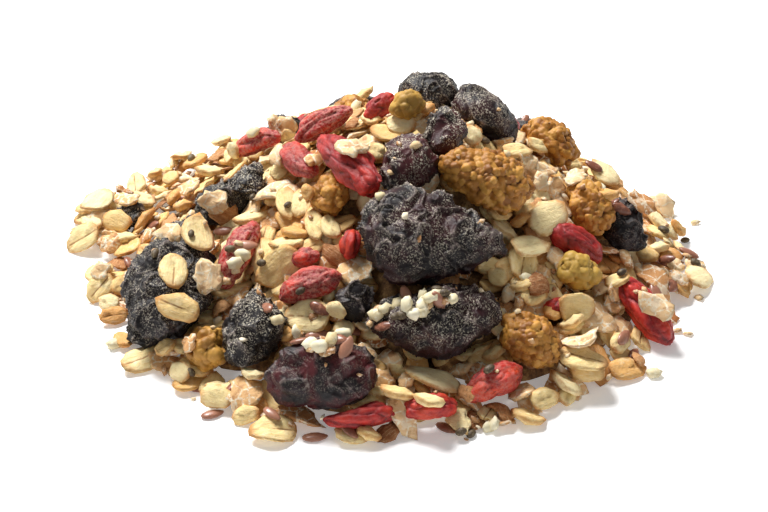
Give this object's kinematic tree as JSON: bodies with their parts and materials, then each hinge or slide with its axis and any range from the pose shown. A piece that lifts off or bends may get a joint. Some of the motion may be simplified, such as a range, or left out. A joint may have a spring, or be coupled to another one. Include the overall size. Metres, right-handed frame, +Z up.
{
  "type": "heap of muesli",
  "caption": "Loose heap of oat-flake muesli with raisins, goji berries and dried mulberries, flat underneath so that it rests on a table or a plate.",
  "frame": {"origin": "middle of the heap's flat underside, on the surface it lies on", "axes": "+Z up, +X to the right and -Y towards the viewer, as the picture shows the heap"},
  "size_m": [0.1182, 0.1068, 0.0368],
  "materials": {
    "flakes": "matte",
    "raisin": "satin",
    "goji": "satin",
    "mulberry": "satin"
  },
  "bodies": {
    "root": {"flake_heap": "flakes", "raisin_01": "raisin", "raisin_02": "raisin", "raisin_03": "raisin", "raisin_04": "raisin", "raisin_05": "raisin", "raisin_06": "raisin", "raisin_07": "raisin", "raisin_08": "raisin", "raisin_09": "raisin", "raisin_10": "raisin", "raisin_11": "raisin", "raisin_12": "raisin", "raisin_13": "raisin", "raisin_14": "raisin", "raisin_15": "raisin", "raisin_16": "raisin", "raisin_17": "raisin", "raisin_18": "raisin", "goji_01": "goji", "goji_02": "goji", "goji_03": "goji", "goji_04": "goji", "goji_05": "goji", "goji_06": "goji", "goji_07": "goji", "goji_08": "goji", "goji_09": "goji", "goji_10": "goji", "goji_11": "goji", "goji_12": "goji", "goji_13": "goji", "goji_14": "goji", "goji_15": "goji", "goji_16": "goji", "goji_17": "goji", "goji_18": "goji", "mulberry_01": "mulberry", "mulberry_02": "mulberry", "mulberry_03": "mulberry", "mulberry_04": "mulberry", "mulberry_05": "mulberry", "mulberry_06": "mulberry", "mulberry_07": "mulberry", "mulberry_08": "mulberry", "mulberry_09": "mulberry", "mulberry_10": "mulberry"}
  },
  "joints": []
}
